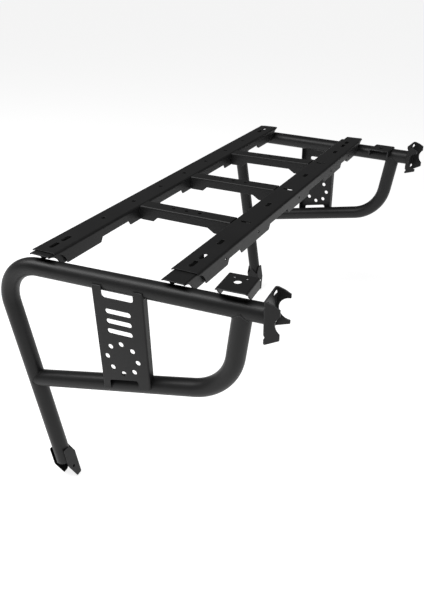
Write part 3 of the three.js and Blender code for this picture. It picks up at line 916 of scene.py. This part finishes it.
def foot_bracket():
    """U bracket round the leg end. Its pattern runs down the leg from where the lower tube meets it."""
    reach = TUBE_SEAT + SHEET
    channel = Channel(2 * reach)
    tip = reach + FOOT_OUTBOARD
    # free edge of a cheek as (distance down the leg, depth behind the web), from the web's top to its bottom
    cheek = [
        (FOOT_TOP + 29, 1.2),
        (FOOT_TOP + 27, 2.0),
        (FOOT_TOP, reach - 6),
        (FOOT_TOP, tip),
        (FOOT_BOTTOM - 50, tip),
        (FOOT_BOTTOM, reach - 5),
        (FOOT_BOTTOM, 4.5),
        (FOOT_WEB_BOTTOM + 3, 2.5),
    ]
    upper = [(t, channel.s_at(depth)) for t, depth in cheek]
    web_top = [(FOOT_TOP + 3, 0.0)]
    web_bottom = [(FOOT_WEB_BOTTOM, channel.flat), (FOOT_WEB_BOTTOM, -channel.flat)]
    outline = web_top + upper + web_bottom + [(t, -s) for t, s in reversed(upper)]
    along, off = FOOT_BOLT
    bolt_s = channel.s_at(off + reach)
    holes = [circle(along, s, FOOT_BOLT_R, BOLT_SIDES) for s in (-bolt_s, bolt_s)]
    lean = LEG_SLOPE - math.pi / 2

    def place(t, p, q):
        x, z = p, -t
        turned_x = x * math.cos(lean) + z * math.sin(lean)
        turned_z = -x * math.sin(lean) + z * math.cos(lean)
        return in_side_frame(LEG_X + turned_x, q - reach, LEG_Z + turned_z)

    # the bracket's inner faces carry painted shade
    return folded_sheet(channel, eased(outline, BRACKET_CORNER), holes, place, paint_inner_shade=True)


def weld_beads():
    """Beads of one side frame: both ends of the lower tube, and the saddle."""
    lower_start = coped(tube_ring(lower_path[1], TUBE_R), -lower_path[0][1], *LEG_AXIS, TUBE_R)
    lower_stop = coped(tube_ring(lower_path[-2], TUBE_R), lower_path[-1][1], *TOP_AXIS, TUBE_R)
    bead_x = SADDLE_BACK - SADDLE_BEAD_BACK
    saddle = [Vector((bead_x, p.y, p.z)) for p in tube_ring((top_start, Vector((-1, 0, 0))), TUBE_R)]
    loops = (lower_start, lower_stop, saddle)
    return [bead_bmesh(resampled(loop, BEAD_PITCH), in_side_frame) for loop in loops]


def joined(parts):
    """One bmesh from several, which are freed."""
    whole = bmesh.new()
    for part in parts:
        piece = bpy.data.meshes.new("part")
        part.to_mesh(piece)
        part.free()
        whole.from_mesh(piece)
        bpy.data.meshes.remove(piece)
    return whole


# ---- assembly ----
for name, data in (("rear_rail", REAR_RAIL), ("front_rail", FRONT_RAIL)):
    mesh_object(f"{name}_folded", rail(data), 1, "deck", "deck_powder_coat", (name,))
for name, y in RUNGS.items():
    mesh_object(f"{name}_folded", rung(y), 1, "deck", "deck_powder_coat", (name,))

for label, side in (("left", 1), ("right", -1)):
    body = f"{label}_side_frame"
    makers = {
        "hoop_tube": ("tube_powder_coat", hoop_tube),
        "lower_tube": ("tube_powder_coat", lower_tube),
        "gusset_plate": ("plate_powder_coat", gusset_plate),
        "accessory_bracket": ("plate_powder_coat", left_tray if side > 0 else right_tray),
        "cage_saddle": ("plate_powder_coat", cage_saddle),
        "foot_bracket": ("plate_powder_coat", foot_bracket),
        "rear_rail_bracket": ("plate_powder_coat", lambda: rail_bracket(REAR_RAIL, REAR_BRACKET_END)),
        "front_rail_bracket": ("plate_powder_coat", lambda: rail_bracket(FRONT_RAIL, FRONT_BRACKET_END)),
    }
    for part, (coat, make) in makers.items():
        node = f"{label}_{part}"
        mesh_object(f"{node}_finished", make(), side, body, coat, (node,))
    mesh_object(f"{label}_weld_beads", joined(weld_beads()), side, body, "tube_powder_coat")


# ---- stage ----
def studio_floor():
    bm = bmesh.new()
    bmesh.ops.create_circle(bm, cap_ends=True, radius=FLOOR_RADIUS, segments=96)
    mesh = bpy.data.meshes.new("studio_floor")
    bm.to_mesh(mesh)
    bm.free()
    material = bpy.data.materials.new("floor_paint")
    material.use_nodes = True
    shader = material.node_tree.nodes["Principled BSDF"]
    shader.inputs["Base Color"].default_value = (FLOOR_GREY, FLOOR_GREY, FLOOR_GREY, 1.0)
    shader.inputs["Roughness"].default_value = 0.9
    shader.inputs["Specular IOR Level"].default_value = 0.1
    shader.inputs["Emission Color"].default_value = (1.0, 1.0, 1.0, 1.0)
    shader.inputs["Emission Strength"].default_value = FLOOR_GLOW
    mesh.materials.append(material)
    floor = bpy.data.objects.new("studio_floor", mesh)
    floor.location = (0.0, 0.0, cad_box[0][2] - FLOOR_DROP)
    bpy.context.scene.collection.objects.link(floor)


def soft_light(name, location, size, power, level=False):
    """Area light that faces straight down when level, and the rack otherwise."""
    data = bpy.data.lights.new(name, "AREA")
    data.shape = "RECTANGLE"
    data.size, data.size_y = size
    data.energy = power
    light = bpy.data.objects.new(name, data)
    light.location = location
    if not level:
        aim = Vector(LIGHT_AIM) - Vector(location)
        light.rotation_euler = aim.to_track_quat("-Z", "Y").to_euler()
    bpy.context.scene.collection.objects.link(light)


studio_floor()
soft_light("overhead_strip", location=(-1.5, -1.45, 3.4), size=(5.4, 1.3), power=190.0, level=True)
soft_light("right_softbox", location=(4.2, 0.6, 2.0), size=(2.5, 2.5), power=6.0)

world = bpy.data.worlds.new("studio_air")
world.use_nodes = True
air = world.node_tree.nodes["Background"]
air.inputs["Color"].default_value = (1.0, 1.0, 1.0, 1.0)
air.inputs["Strength"].default_value = AIR_STRENGTH
bpy.context.scene.world = world
bpy.context.scene.view_settings.view_transform = "Standard"


# ---- camera ----
def turned_camera(location, azimuth, elevation, roll, lens):
    """Camera on the side that azimuth gives, from -Y toward +X, looking down by elevation, and rolled.

    Angles are in degrees; the location is in metres and the lens in millimetres.
    """
    az, el, roll = (math.radians(a) for a in (azimuth, elevation, roll))
    back = Vector((math.sin(az) * math.cos(el), -math.cos(az) * math.cos(el), math.sin(el)))
    right = Vector((math.cos(az), math.sin(az), 0.0))
    up = back.cross(right)
    tilted_right = right * math.cos(roll) + up * math.sin(roll)
    tilted_up = up * math.cos(roll) - right * math.sin(roll)
    data = bpy.data.cameras.new("camera")
    data.lens = lens
    data.sensor_width = 36.0
    data.clip_end = 200.0
    camera = bpy.data.objects.new("camera", data)
    turn = Matrix((tilted_right, tilted_up, back)).transposed().to_4x4()
    camera.matrix_world = Matrix.Translation(location) @ turn
    bpy.context.scene.collection.objects.link(camera)
    bpy.context.scene.camera = camera


turned_camera(
    location=(0.74445, -1.55899, 1.31159), azimuth=29.399, elevation=29.639, roll=-1.32, lens=36.787,
)
